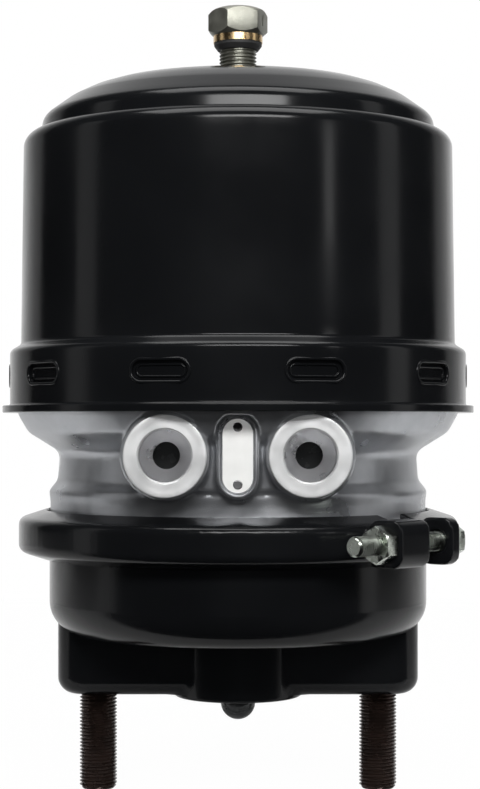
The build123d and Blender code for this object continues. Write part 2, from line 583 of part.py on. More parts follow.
guide_ring_base = PISTON_BASE + PISTON_SKIRT_RISE - 4 - GUIDE_RING_WIDTH
lip_seal_base = PISTON_BASE - PISTON_SKIRT_DROP + 3


def piston_ring(base, width):
    """Ring seated in one of the piston's grooves and running in the housing's bore."""
    floor = HOUSING_BORE / 2 - PISTON_LAND - RING_DEPTH + SEAT_GAP
    return tube(HOUSING_BORE / 2 - RUNNING_GAP, floor, base + SEAT_GAP, base + width - SEAT_GAP)


def make_lip_seal():
    """Seal with a groove in its pressure side, which leaves two lips."""
    ring = piston_ring(lip_seal_base, LIP_SEAL_WIDTH)
    middle = (HOUSING_BORE / 2 - RUNNING_GAP + HOUSING_BORE / 2 - PISTON_LAND - RING_DEPTH) / 2
    return ring - tube(middle + 0.6, middle - 0.6, lip_seal_base, lip_seal_base + LIP_SEAL_WIDTH / 2)


def make_tube_foot():
    """Plug that closes the piston tube and presses on the diaphragm."""
    bottom = TUBE_END - FOOT_HEIGHT
    return turned((0, bottom), (tube_radius, bottom, 1.5), (tube_radius, TUBE_END), (TUBE_BORE / 2 - SEAT_GAP, TUBE_END),
                  (TUBE_BORE / 2 - SEAT_GAP, TUBE_END + FOOT_SPIGOT), (0, TUBE_END + FOOT_SPIGOT))


def coil(base, height, base_radius, top_radius, turns, wire):
    """Tapered coil spring of round wire, standing on base."""
    free = height - wire
    taper = -180 / pi * asin((base_radius - top_radius) / sqrt(free ** 2 + (base_radius - top_radius) ** 2))
    path = Pos(0, 0, base + wire / 2) * Helix(free / turns, free, base_radius, cone_angle=taper)
    section = Plane(path @ 0, z_dir=path % 0) * Circle(wire / 2)
    return sweep(section, path=path, is_frenet=True)


def make_power_spring():
    base = PISTON_BASE + PISTON_WEB + RUNNING_GAP
    return coil(base, POWER_SPRING_HEIGHT, POWER_BASE_RADIUS, POWER_TOP_RADIUS, POWER_TURNS, POWER_WIRE)


def make_return_spring():
    base = SERVICE_FLOOR + SERVICE_WALL + RUNNING_GAP
    height = PLATE_TOP - PUSH_PLATE_THICKNESS - RUNNING_GAP - base
    return coil(base, height, RETURN_BASE_RADIUS, RETURN_TOP_RADIUS, RETURN_TURNS, RETURN_WIRE)


def make_diaphragm():
    """Rubber hat: bead clamped in the joint, wall lying in the recess, flat top under the web."""
    half = DIAPHRAGM_THICKNESS
    roof = RECESS_ROOF - SEAT_GAP
    roof_radius = RECESS_ROOF_DIAMETER / 2 - 1.2
    mouth = RECESS_MOUTH_DIAMETER / 2 - 1.2
    bead = joint_radius - 1
    low = lower_joint + SEAT_GAP
    high = upper_joint - SEAT_GAP
    return turned((0, roof), (roof_radius, roof, 4), (mouth, high, 1), (bead, high), (bead, low),
                  (mouth - half, low, 1), (roof_radius - half * 1.3, roof - half, 2), (0, roof - half))


def make_push_plate():
    radius = PUSH_PLATE_DIAMETER / 2
    bottom = PLATE_TOP - PUSH_PLATE_THICKNESS
    socket = SOCKET_DIAMETER / 2
    plate = turned((0, PLATE_TOP), (radius - 2, PLATE_TOP, 2), (radius + 1, PLATE_TOP - PUSH_PLATE_LIP),
                   (radius - 2, PLATE_TOP - PUSH_PLATE_LIP), (radius - 5, bottom, 1), (socket, bottom, 2),
                   (socket, ROD_HEAD_HEIGHT), (0, ROD_HEAD_HEIGHT))
    return plate - Pos(0, 0, ROD_HEAD_HEIGHT) * Sphere(ROD_HEAD_RADIUS + RUNNING_GAP)


def make_rod_retainer():
    """Ring under the socket that keeps the rod's head in."""
    top = ROD_HEAD_HEIGHT - SEAT_GAP / 2
    ring = disc(SOCKET_DIAMETER / 2, ROD_HEAD_HEIGHT - SOCKET_DROP, top)
    return ring - Pos(0, 0, ROD_HEAD_HEIGHT) * Sphere(ROD_HEAD_RADIUS + RUNNING_GAP)


def make_push_rod():
    radius = ROD_DIAMETER / 2
    neck = ROD_NECK_DIAMETER / 2
    tip_centre = ROD_TIP + ROD_TIP_RADIUS
    neck_end = ROD_HEAD_HEIGHT - 2 * SOCKET_DROP
    bar = turned((0, tip_centre), (neck, tip_centre), (neck, tip_centre + 9), (radius, tip_centre + 12),
                 (radius, neck_end - 3), (neck, neck_end), (neck, ROD_HEAD_HEIGHT), (0, ROD_HEAD_HEIGHT))
    tip = Pos(0, 0, tip_centre) * Sphere(ROD_TIP_RADIUS)
    return bar + tip + Pos(0, 0, ROD_HEAD_HEIGHT) * Sphere(ROD_HEAD_RADIUS)


def make_dust_boot():
    """Rubber bellows between the spigot's bore and a collar that grips the rod."""
    outside = SPIGOT_BORE / 2 - SEAT_GAP
    collar = ROD_DIAMETER / 2 + RUNNING_GAP
    wall = BOOT_WALL
    low = 1.0
    fold = (outside - collar) / 3
    first = outside - fold
    second = first - fold
    return turned(
        (outside, -SPIGOT_HEIGHT + 0.6), (outside, BOOT_BEAD), (outside - wall, BOOT_BEAD), (first + wall, BOOT_TOP, 1),
        (first - wall, BOOT_TOP, 1), (second + wall / 2, low + 4, 0.6), (second - wall, BOOT_TOP, 1),
        (collar, BOOT_TOP), (collar, BOOT_TOP - BOOT_COLLAR), (second - wall, BOOT_TOP - wall * 2),
        (second, low + 2, 0.6), (second + wall * 1.5, low + 2, 0.6), (first, BOOT_TOP - wall, 0.6),
        (outside - 2 * wall, -SPIGOT_HEIGHT + 0.6))


NODES = {
    "spring_housing": make_spring_housing,
    "release_boss": make_release_boss,
    "release_bolt": make_release_bolt,
    "release_washer": make_release_washer,
    "release_seal": make_release_seal,
    "thrust_collar": make_thrust_collar,
    "thrust_collar_pin": lambda: collar_pin_bar(COLLAR_PIN_DIAMETER / 2),
    "thrust_washer": make_thrust_washer,
    "power_spring": make_power_spring,
    "spring_piston": make_spring_piston,
    "piston_guide_ring": lambda: piston_ring(guide_ring_base, GUIDE_RING_WIDTH),
    "piston_lip_seal": make_lip_seal,
    "tube_foot": make_tube_foot,
    "centre_body": make_centre_body,
    "rim_seal": make_rim_seal,
    "tube_bush": make_tube_bush,
    "tube_seal": make_tube_seal,
    "rating_plate": make_rating_plate,
    "rating_plate_pins": make_plate_pins,
    "diaphragm": make_diaphragm,
    "push_plate": make_push_plate,
    "push_rod_retainer": make_rod_retainer,
    "push_rod": make_push_rod,
    "return_spring": make_return_spring,
    "service_housing": make_service_housing,
    "mounting_studs": make_mounting_studs,
    "dust_boot": make_dust_boot,
    "clamp_ring": make_clamp_ring,
    "clamp_bolt": make_clamp_bolt,
    "clamp_nut": make_clamp_nut,
}

os.makedirs("parts", exist_ok=True)
for name, make in NODES.items():
    piece = make()
    solids = piece.solids()
    print(f"{name}: {len(solids)} solid(s), {sum(solid.volume for solid in solids) / 1000:.2f} cm3")
    export_step(piece, f"parts/{name}.step")
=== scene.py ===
# %% [markdown]
# # An air brake chamber
#
# This chamber bolts to a disc brake. The tall steel cup on top holds the parking spring, the cast
# aluminium body in the middle takes the air, and the lower cup carries the studs. The shapes and
# joints come from a fixed frame that is already right in size, so this lesson only adds what the eye
# looks for: smooth pressed steel, real threads, turned port faces and believable finishes.

# %% Load the frame
from math import atan2, ceil, cos, hypot, pi, radians, sin, sqrt, tan

import bpy
from mathutils import Matrix, Vector


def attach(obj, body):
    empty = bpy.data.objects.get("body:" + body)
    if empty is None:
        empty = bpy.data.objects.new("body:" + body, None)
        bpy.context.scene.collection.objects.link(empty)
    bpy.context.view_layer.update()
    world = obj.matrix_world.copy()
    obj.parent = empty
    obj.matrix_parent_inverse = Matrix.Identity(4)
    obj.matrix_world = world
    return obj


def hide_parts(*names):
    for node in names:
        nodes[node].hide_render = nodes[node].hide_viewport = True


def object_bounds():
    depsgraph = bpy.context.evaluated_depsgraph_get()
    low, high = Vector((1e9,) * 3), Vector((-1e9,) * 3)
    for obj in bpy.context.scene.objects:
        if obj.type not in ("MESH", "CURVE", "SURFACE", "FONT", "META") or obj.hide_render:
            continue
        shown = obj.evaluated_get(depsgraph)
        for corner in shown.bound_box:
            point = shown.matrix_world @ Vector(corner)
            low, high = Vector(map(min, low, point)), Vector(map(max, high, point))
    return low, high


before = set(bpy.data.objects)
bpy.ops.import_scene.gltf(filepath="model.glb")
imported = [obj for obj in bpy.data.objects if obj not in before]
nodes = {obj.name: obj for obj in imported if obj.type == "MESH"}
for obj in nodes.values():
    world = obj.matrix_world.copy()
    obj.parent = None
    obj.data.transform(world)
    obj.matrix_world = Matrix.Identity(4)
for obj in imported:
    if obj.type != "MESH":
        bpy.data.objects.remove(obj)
cad_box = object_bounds()
print("pieces in the frame:", len(nodes))

# %% [markdown]
# ## Tools for the bench
#
# Most of this object was pressed or turned, so one outline spun round the axis gives most of it. An
# outline is a short list of corners in millimetres, each with an optional rounding. Writing the
# corners rather than the finished curve keeps every size in sight.

# %% Selecting and finishing
MM = 0.001
MERGE = 0.004 * MM      # points nearer than this become one
SHARP = 35              # degrees past which an edge stays sharp


def activate(piece):
    """Leaves one piece selected and active."""
    bpy.ops.object.select_all(action="DESELECT")
    piece.select_set(True)
    bpy.context.view_layer.objects.active = piece


def apply_modifier(piece, kind, **settings):
    """Adds a modifier, sets it and applies it."""
    activate(piece)
    modifier = piece.modifiers.new(kind, kind)
    for key, value in settings.items():
        setattr(modifier, key, value)
    bpy.ops.object.modifier_apply(modifier=modifier.name)


def clean(piece, angle=SHARP):
    """Merges doubled points, turns faces outwards and smooths all but the sharp edges."""
    activate(piece)
    bpy.ops.object.mode_set(mode="EDIT")
    bpy.ops.mesh.select_all(action="SELECT")
    bpy.ops.mesh.remove_doubles(threshold=MERGE)
    bpy.ops.mesh.normals_make_consistent(inside=False)
    bpy.ops.object.mode_set(mode="OBJECT")
    bpy.ops.object.shade_smooth_by_angle(angle=radians(angle))


def settle(piece):
    """Writes a piece's place into its mesh."""
    activate(piece)
    bpy.ops.object.transform_apply(location=True, rotation=True, scale=True)


def combine(piece, other, operation):
    """Joins, cuts or intersects two closed pieces and removes the second."""
    apply_modifier(piece, "BOOLEAN", object=other, operation=operation, solver="EXACT")
    bpy.data.objects.remove(other)


def join(name, *parts):
    """Puts several closed parts into one piece."""
    bpy.ops.object.select_all(action="DESELECT")
    for part in parts:
        part.select_set(True)
    bpy.context.view_layer.objects.active = parts[0]
    bpy.ops.object.join()
    parts[0].name = name
    return parts[0]


# %% Spinning an outline
def outline(corners, longest, arc_step=9):
    """Rounds the marked (radius, height, rounding) corners and divides the long runs.

    An arc has a point for each step, in degrees.
    """
    points = []
    for index, corner in enumerate(corners):
        here = Vector(corner[:2])
        if len(corner) < 3:
            points.append(here)
            continue
        back = (Vector(corners[index - 1][:2]) - here).normalized()
        ahead = (Vector(corners[(index + 1) % len(corners)][:2]) - here).normalized()
        half = back.angle(ahead) / 2
        reach = corner[2] / tan(half)
        centre = here + (back + ahead).normalized() * corner[2] / sin(half)
        first = here + back * reach - centre
        last = here + ahead * reach - centre
        turn = atan2(first.x * last.y - first.y * last.x, first.dot(last))
        steps = max(2, ceil(abs(turn) / radians(arc_step)))
        for step in range(steps + 1):
            angle = turn * step / steps
            points.append(centre + Vector((first.x * cos(angle) - first.y * sin(angle),
                                           first.x * sin(angle) + first.y * cos(angle))))
    divided = []
    for index, point in enumerate(points):
        divided.append(point)
        following = points[(index + 1) % len(points)]
        if point.x == 0 and following.x == 0:
            continue
        parts = max(1, ceil((following - point).length / longest))
        divided += [point.lerp(following, part / parts) for part in range(1, parts)]
    return divided


def spun(name, corners, steps=128, longest=8.0):
    """Turned piece: an outline drawn as one chain of edges and spun round the axis."""
    points = outline(corners, longest)
    count = len(points)
    edges = [(i, (i + 1) % count) for i in range(count)
             if points[i].x > 0 or points[(i + 1) % count].x > 0]
    mesh = bpy.data.meshes.new(name)
    mesh.from_pydata([(point.x * MM, 0, point.y * MM) for point in points], edges, [])
    piece = bpy.data.objects.new(name, mesh)
    bpy.context.collection.objects.link(piece)
    activate(piece)
    bpy.ops.object.mode_set(mode="EDIT")
    bpy.ops.mesh.select_all(action="SELECT")
    bpy.ops.mesh.spin(steps=steps, angle=2 * pi, center=(0, 0, 0), axis=(0, 0, 1))
    bpy.ops.object.mode_set(mode="OBJECT")
    clean(piece)
    return piece


# %% [markdown]
# ## Threads
#
# A thread is one tooth carried round and up the bar. The Screw modifier does exactly that, so the
# outline is a single pitch and the modifier makes the turns. Two planes then cut the ends square, and
# the crests next to them are drawn in to a chamfer.

# %% Cutting a thread
THREAD_DEPTH = 0.6134  # share of the pitch


def threaded_bar(name, diameter, pitch, bottom, top, chamfer=1.0, steps=40):
    """Upright threaded bar between two heights, chamfered at both ends."""
    crest = diameter / 2
    root = crest - THREAD_DEPTH * pitch
    # Radius and share of the pitch, from one root to the next
    tooth = [(root, 0), (root, 0.25), (crest, 0.5625), (crest, 0.6875), (root, 1)]
    start = bottom - pitch
    mesh = bpy.data.meshes.new(name)
    mesh.from_pydata([(r * MM, 0, (start + share * pitch) * MM) for r, share in tooth],
                     [(i, i + 1) for i in range(len(tooth) - 1)], [])
    bar = bpy.data.objects.new(name, mesh)
    bpy.context.collection.objects.link(bar)
    apply_modifier(bar, "SCREW", axis="Z", angle=2 * pi, screw_offset=pitch * MM, steps=steps,
                   render_steps=steps, iterations=ceil((top - bottom) / pitch) + 2,
                   use_merge_vertices=True, merge_threshold=MERGE)
    for height, side in ((bottom, 1), (top, -1)):
        activate(bar)
        bpy.ops.object.mode_set(mode="EDIT")
        bpy.ops.mesh.select_all(action="SELECT")
        bpy.ops.mesh.remove_doubles(threshold=MERGE)
        bpy.ops.mesh.bisect(plane_co=(0, 0, height * MM), plane_no=(0, 0, side),
                            use_fill=True, clear_inner=True)
        bpy.ops.object.mode_set(mode="OBJECT")
    for vertex in bar.data.vertices:
        to_end = min(vertex.co.z - bottom * MM, top * MM - vertex.co.z)
        allowed = crest * MM - chamfer * MM + to_end
        radius = hypot(vertex.co.x, vertex.co.y)
        if radius > allowed:
            vertex.co.x *= allowed / radius
            vertex.co.y *= allowed / radius
    clean(bar, angle=25)
    return bar


HEXAGON_EDGE = 0.15


def hexagon(name, flats, bottom, height, turn, blank):
    """Hexagon bar turned down to the outline of a blank, which is drawn as (radius, height) corners.

    Its first corner stands at the turn, measured from +X. The cylinder is made with that corner on +Y.
    """
    bpy.ops.mesh.primitive_cylinder_add(vertices=6, radius=flats / sqrt(3) * MM, depth=height * MM,
                                        location=(0, 0, (bottom + height / 2) * MM),
                                        rotation=(0, 0, radians(turn - 90)))
    bar = bpy.context.object
    bar.name = name
    settle(bar)
    combine(bar, spun(name + "_blank", blank, 96), "INTERSECT")
    apply_modifier(bar, "BEVEL", width=HEXAGON_EDGE * MM, segments=2, limit_method="ANGLE",
                   angle_limit=radians(SHARP))
    clean(bar, angle=30)
    return bar


def place(piece, matrix):
    """Moves a piece to its place and writes that into its mesh."""
    piece.matrix_world = matrix
    settle(piece)


def copied(name, node):
    """Separate copy of a carried-over piece, with its loose triangles merged."""
    piece = bpy.data.objects.new(name, node.data.copy())
    bpy.context.collection.objects.link(piece)
    activate(piece)
    bpy.ops.mesh.customdata_custom_splitnormals_clear()
    bpy.ops.object.mode_set(mode="EDIT")
    bpy.ops.mesh.select_all(action="SELECT")
    bpy.ops.mesh.remove_doubles(threshold=MERGE)
    bpy.ops.object.mode_set(mode="OBJECT")
    return piece


# %% [markdown]
# ## Finishes
#
# Two effects turn up in nearly every finish: roughness that wanders a little, and a fine grain in the
# surface. Each is a node group, built once and given its own numbers in each material. Object
# coordinates drive them, so that the pattern stays on the metal from any view.

# %% Shared shader groups
def new_group(name, inputs, outputs):
    """Empty shader group with named inputs and outputs."""
    group = bpy.data.node_groups.new(name, "ShaderNodeTree")
    for label, value in inputs.items():
        socket = group.interface.new_socket(label, in_out="INPUT", socket_type="NodeSocketFloat")
        socket.default_value = value
    for label, kind in outputs.items():
        group.interface.new_socket(label, in_out="OUTPUT", socket_type=kind)
    entry = group.nodes.new("NodeGroupInput")
    leave = group.nodes.new("NodeGroupOutput")
    return group, entry, leave


def make_mottle():
    """Slow cloudy variation between a low and a high value."""
    group, entry, leave = new_group("Mottle", {"Scale": 40, "Low": 0.2, "High": 0.3},
                                    {"Value": "NodeSocketFloat", "Mask": "NodeSocketFloat"})
    where = group.nodes.new("ShaderNodeTexCoord")
    noise = group.nodes.new("ShaderNodeTexNoise")
    noise.inputs["Detail"].default_value = 6
    spread = group.nodes.new("ShaderNodeMapRange")
    spread.inputs["From Min"].default_value = 0.35
    spread.inputs["From Max"].default_value = 0.65
    link = group.links.new
    link(where.outputs["Object"], noise.inputs["Vector"])
    link(entry.outputs["Scale"], noise.inputs["Scale"])
    link(noise.outputs["Fac"], spread.inputs["Value"])
    link(entry.outputs["Low"], spread.inputs["To Min"])
    link(entry.outputs["High"], spread.inputs["To Max"])
    link(spread.outputs["Result"], leave.inputs["Value"])
    link(noise.outputs["Fac"], leave.inputs["Mask"])
    return group


def make_grain():
    """Fine raised grain over a softer waviness."""
    group, entry, leave = new_group("Grain", {"Fine": 1500, "Coarse": 120, "Strength": 0.1},
                                    {"Normal": "NodeSocketVector"})
    where = group.nodes.new("ShaderNodeTexCoord")
    heights = []
    for socket in ("Fine", "Coarse"):
        noise = group.nodes.new("ShaderNodeTexNoise")
        noise.inputs["Detail"].default_value = 4
        group.links.new(where.outputs["Object"], noise.inputs["Vector"])
        group.links.new(entry.outputs[socket], noise.inputs["Scale"])
        heights.append(noise.outputs["Fac"])
    total = group.nodes.new("ShaderNodeMath")
    total.operation = "ADD"
    bump = group.nodes.new("ShaderNodeBump")
    bump.inputs["Distance"].default_value = 0.2 * MM
    group.links.new(heights[0], total.inputs[0])
    group.links.new(heights[1], total.inputs[1])
    group.links.new(total.outputs[0], bump.inputs["Height"])
    group.links.new(entry.outputs["Strength"], bump.inputs["Strength"])
    group.links.new(bump.outputs["Normal"], leave.inputs["Normal"])
    return group


mottle = make_mottle()
grain = make_grain()


# %% One function for every finish
def finish(name, colour, second, metallic, roughness, patch=40, fine=1500, coarse=120, strength=0.1,
           specular=0.5):
    """Material whose colour and roughness wander between two values over a fine grain."""
    material = bpy.data.materials.new(name)
    material.use_nodes = True
    tree = material.node_tree
    shader = tree.nodes["Principled BSDF"]
    shader.inputs["Metallic"].default_value = metallic
    shader.inputs["Specular IOR Level"].default_value = specular
    clouds = tree.nodes.new("ShaderNodeGroup")
    clouds.node_tree = mottle
    clouds.inputs["Scale"].default_value = patch
    clouds.inputs["Low"].default_value = roughness[0]
    clouds.inputs["High"].default_value = roughness[1]
    surface = tree.nodes.new("ShaderNodeGroup")
    surface.node_tree = grain
    surface.inputs["Fine"].default_value = fine
    surface.inputs["Coarse"].default_value = coarse
    surface.inputs["Strength"].default_value = strength
    tint = tree.nodes.new("ShaderNodeMix")
    tint.data_type = "RGBA"
    # Of a colour mix, inputs 6 and 7 are its two colours and output 2 is its result
    tint.inputs[6].default_value = (*colour, 1)
    tint.inputs[7].default_value = (*second, 1)
    tree.links.new(clouds.outputs["Mask"], tint.inputs["Factor"])
    tree.links.new(tint.outputs[2], shader.inputs["Base Color"])
    tree.links.new(clouds.outputs["Value"], shader.inputs["Roughness"])
    tree.links.new(surface.outputs["Normal"], shader.inputs["Normal"])
    return material


WAVE_RADIANS = 20       # a wave texture of scale 1 passes this many radians in each metre


def add_rings(material, centre, axis, spacing, depth):
    """Adds the faint circles that turning leaves, round an axis through a centre."""
    tree = material.node_tree
    shader = tree.nodes["Principled BSDF"]
    where = tree.nodes.new("ShaderNodeTexCoord")
    shift = tree.nodes.new("ShaderNodeMapping")
    shift.inputs["Location"].default_value = [-value for value in centre]
    rings = tree.nodes.new("ShaderNodeTexWave")
    rings.wave_type = "RINGS"
    rings.rings_direction = axis
    rings.inputs["Scale"].default_value = 2 * pi / (spacing * WAVE_RADIANS)
    rings.inputs["Distortion"].default_value = 0.3
    bump = tree.nodes.new("ShaderNodeBump")
    bump.inputs["Distance"].default_value = depth
    bump.inputs["Strength"].default_value = 0.5
    under = shader.inputs["Normal"].links[0].from_socket
    tree.links.new(where.outputs["Object"], shift.inputs["Vector"])
    tree.links.new(shift.outputs["Vector"], rings.inputs["Vector"])
    tree.links.new(rings.outputs["Fac"], bump.inputs["Height"])
    tree.links.new(under, bump.inputs["Normal"])
    tree.links.new(bump.outputs["Normal"], shader.inputs["Normal"])


# %% [markdown]
# ## The palette
#
# The photo shows gloss black enamel, grey die-cast aluminium with bright turned port faces, zinc
# plated screws, an olive-grey release bolt over a brass-coloured washer, and brown-black studs. The
# enamel is only slightly rough, because its reflections have soft ends.

# %% Mixing the finishes
PORT_X = 28.15 * MM
PORT_FACE_Y = -90.0 * MM
PORT_Z = 102.4 * MM

enamel = finish("black enamel", (0.0035, 0.0037, 0.0042), (0.0065, 0.0070, 0.0078), 0.0, (0.13, 0.2),
                patch=25, fine=900, coarse=45, strength=0.02, specular=0.16)
casting = finish("cast aluminium", (0.20, 0.21, 0.23), (0.60, 0.61, 0.63), 0.85, (0.26, 0.44),
                 patch=55, fine=2200, coarse=130, strength=0.3)
plate_metal = finish("plate aluminium", (0.86, 0.86, 0.84), (0.95, 0.95, 0.93), 0.25, (0.34, 0.44),
                     patch=200, fine=3000, coarse=500, strength=0.1)
zinc = finish("zinc plating", (0.33, 0.36, 0.32), (0.58, 0.61, 0.56), 1.0, (0.2, 0.32),
              patch=160, fine=2600, coarse=400, strength=0.1)
bolt_steel = finish("release bolt steel", (0.15, 0.15, 0.125), (0.32, 0.32, 0.28), 0.9, (0.34, 0.48),
                    patch=220, fine=2600, coarse=600, strength=0.2)
brass = finish("washer brass", (0.50, 0.33, 0.15), (0.80, 0.60, 0.34), 1.0, (0.2, 0.32),
               patch=260, fine=2500, coarse=300, strength=0.08)
stud_steel = finish("stud steel", (0.010, 0.009, 0.008), (0.052, 0.030, 0.024), 0.7, (0.2, 0.34),
                    patch=130, fine=2200, coarse=500, strength=0.12)
# Push rod steel, which also serves as painted shade inside the port passages
rod_steel_and_passage_shade = finish("push rod steel", (0.020, 0.021, 0.022), (0.035, 0.037, 0.038), 0.5, (0.2, 0.3),
                   patch=90, fine=2200, coarse=300, strength=0.06)
rubber = finish("moulded rubber", (0.014, 0.014, 0.014), (0.026, 0.026, 0.027), 0.0, (0.5, 0.65),
                patch=120, fine=2400, coarse=400, strength=0.15)
nylon = finish("nylon", (0.66, 0.64, 0.56), (0.76, 0.74, 0.67), 0.0, (0.4, 0.5),
               patch=80, fine=1800, coarse=300, strength=0.05)
spring_steel = finish("spring steel", (0.06, 0.06, 0.065), (0.13, 0.13, 0.14), 0.8, (0.35, 0.5),
                      patch=100, fine=2600, coarse=500, strength=0.25)
plain_steel = finish("plain steel", (0.34, 0.34, 0.35), (0.48, 0.48, 0.49), 1.0, (0.28, 0.4),
                     patch=120, fine=2200, coarse=300, strength=0.08)

RING_SPACING = 1.4 * pi * MM
RING_DEPTH = 0.06 * MM

turned_ports = {}
for side in (-1, 1):
    turned_ports[side] = finish("turned port", (0.76, 0.77, 0.77), (0.88, 0.88, 0.88), 0.7, (0.34, 0.46),
                                patch=120, fine=3000, coarse=300, strength=0.04)
    port_centre = (side * PORT_X, PORT_FACE_Y, PORT_Z)
    add_rings(turned_ports[side], port_centre, "Y", RING_SPACING, RING_DEPTH)

bored_port = finish("bored port", (0.62, 0.62, 0.64), (0.82, 0.82, 0.83), 0.85, (0.26, 0.36),
                    patch=120, fine=3000, coarse=300, strength=0.05)


def paint(piece, material):
    """Gives a piece one material all over."""
    piece.data.materials.clear()
    piece.data.materials.append(material)


def hand_over(piece, material, body, slot, *replaced):
    """Paints a finished piece, makes it ride on its body and hides the parts it stands for."""
    paint(piece, material)
    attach(piece, body)
    if replaced:
        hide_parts(*replaced)
    print(piece.name, "has", len(piece.data.polygons), "faces and rides on", body)


cad_finishes = {
    enamel: ["spring_housing", "push_plate", "service_housing", "clamp_ring"],
    casting: ["centre_body", "spring_piston"],
    plate_metal: ["rating_plate"],
    zinc: ["clamp_bolt", "clamp_nut"],
    bolt_steel: ["release_bolt"],
    brass: ["release_washer"],
    stud_steel: ["mounting_studs"],
    rod_steel_and_passage_shade: ["push_rod"],
    rubber: ["release_seal", "piston_lip_seal", "rim_seal", "tube_seal", "diaphragm", "dust_boot"],
    nylon: ["piston_guide_ring", "tube_foot", "tube_bush"],
    spring_steel: ["power_spring", "return_spring"],
    plain_steel: ["rating_plate_pins", "release_boss", "thrust_collar", "thrust_collar_pin",
                  "thrust_washer", "push_rod_retainer"],
}
for material, names in cad_finishes.items():
    for node_name in names:
        paint(nodes[node_name], material)
        activate(nodes[node_name])
        bpy.ops.object.shade_smooth_by_angle(angle=radians(SHARP))
print("materials:", len(bpy.data.materials))

# %% [markdown]
# ## The cast body and its ports
#
# A casting has no sharp edges except where a cutter has been. Rounding each edge by hand would take
# all day, so a copy of the body goes through a voxel remesh, which makes one even skin, and a smoothing
# that melts the corners into soft blends. What was machined comes back as separate crisp pieces: each
# port has a bright ring where the fitting seals, a threaded wall and a drill cone that ends in a
# passage. The passage and its closed floor are painted near-black, as painted shade of the deep bore.
# The copy is bored out first, so that nothing of it shows through them, and what the melting
# leaves in front of a ring is cut away last.

# %% Melting the corners
BODY = "chamber"
SMALL_PIECE = 190000    # most triangles in one melted piece
CAST_SHARP = 60


def melted(piece, voxel, rounds):
    """Gives a piece one even skin and smooths its corners away."""
    apply_modifier(piece, "REMESH", mode="VOXEL", voxel_size=voxel * MM, use_smooth_shade=True)
    apply_modifier(piece, "SMOOTH", factor=0.5, iterations=rounds)
    share = SMALL_PIECE / (2 * len(piece.data.polygons))
    apply_modifier(piece, "DECIMATE", ratio=min(1.0, share))
    clean(piece, angle=CAST_SHARP)


def port_place(side):
    """Matrix that lays a piece made upright on a port's axis, with its top at the port's face."""
    return Matrix.Translation((side * PORT_X, PORT_FACE_Y, PORT_Z)) @ Matrix.Rotation(pi / 2, 4, "X")


# %% Casting with its ports bored out
# In these outlines the port's face is at height 0, and the body is below it.
PORT_DEPTH = 24.0
PORT_CUT = [(0, -PORT_DEPTH), (6.1, -PORT_DEPTH), (6.1, -17), (11, -12.8), (11, 2), (0, 2)]
FRONT_CUT = [(0, 0), (17.2, 0), (17.2, 12.5), (0, 12.5)]


def bored(piece, corners):
    """Cuts the same round hole at both ports."""
    for side in (-1, 1):
        cutter = spun("port_cutter", corners, 64)
        place(cutter, port_place(side))
        combine(piece, cutter, "DIFFERENCE")


cast_body = copied("cast_body", nodes["centre_body"])
bored(cast_body, PORT_CUT)
melted(cast_body, voxel=0.8, rounds=7)
bored(cast_body, FRONT_CUT)
clean(cast_body, angle=CAST_SHARP)
hand_over(cast_body, casting, BODY, "cast_aluminium", "centre_body")

# %% Port linings
LINING = [(0, -PORT_DEPTH - 0.6), (6.9, -PORT_DEPTH - 0.6), (6.9, -17.2), (11.8, -13.4), (11.8, -3.5),
          (16.25, -3.5), (16.25, 0.05, 0.5), (10.9, 0.05), (10.2, -0.65), (10.12, -11.4), (5.38, -16.2),
          (5.38, 0.8 - PORT_DEPTH), (0, 0.8 - PORT_DEPTH)]
# Inside this radius the port is painted near-black, as painted shade of the deep passage
PAINTED_SHADE_RADIUS = 5.5       # radius inside which the port is dark
BORE = 10.3         # radius inside which it is bored metal

for side, name in ((-1, "service_port_lining"), (1, "spring_port_lining")):
    lining = spun(name, LINING, 96, longest=2.0)
    place(lining, port_place(side))
    hand_over(lining, turned_ports[side], BODY, "cast_aluminium")
    lining.data.materials.append(bored_port)
    # The dark push rod steel goes on the passage's wall and floor as painted shade of the deep bore
    lining.data.materials.append(rod_steel_and_passage_shade)
    for face in lining.data.polygons:
        away = hypot(face.center.x - side * PORT_X, face.center.z - PORT_Z)
        # 0 is the turned ring, 1 the bore and 2 the passage, painted dark as painted shade
        face.material_index = (away < BORE * MM) + (away < PAINTED_SHADE_RADIUS * MM)

# %% [markdown]
# ## The clamp
#
# The clamp is bent from thick strip, so its edges are round too, and it takes the same treatment.

# %% Clamp ring
clamp = copied("rounded_clamp", nodes["clamp_ring"])
melted(clamp, voxel=0.7, rounds=6)
hand_over(clamp, enamel, BODY, "black_paint", "clamp_ring")

# %% [markdown]
# ## The steel cup
#
# Gloss black shows every flaw in a surface as a kink in a highlight, and the long thin triangles that
# a CAD export leaves on curved steel do just that. So the cup is spun again, in even steps. Its
# dimples lock it to the casting. Each one has a raised edge where the press pushed metal up, and a
# ridge round its floor: a torus pulled out to an oval, laid on the skirt and repeated round it.

# %% Spinning the cup
SKIRT_RADIUS = 97.8
CUP_OUTSIDE = [(8.3, 260.6), (60, 260.3, 51.3), (73.65, 252.6, 9), (83.85, 245.2, 6), (84.45, 238.6),
               (85.25, 238.6), (91.9, 239, 6.0), (93.1, 148.7, 2), (SKIRT_RADIUS, 145.9, 3),
               (SKIRT_RADIUS, 122.7, 1), (101, 122.7, 0.4), (101, 119.7, 0.4)]
CUP_INSIDE = [(94.8, 119.7), (94.8, 142.05), (89, 142.05), (89, 231.6, 6), (81.45, 236.6, 3),
              (81.45, 243.2, 4), (71.95, 250.1, 6), (58.6, 257.3), (8.3, 257.6)]
DIMPLES = 10
DIMPLE_LENGTH = 24
DIMPLE_WIDTH = 8.4
DIMPLE_HEIGHT = 135.4
DIMPLE_DEPTH = 1.6
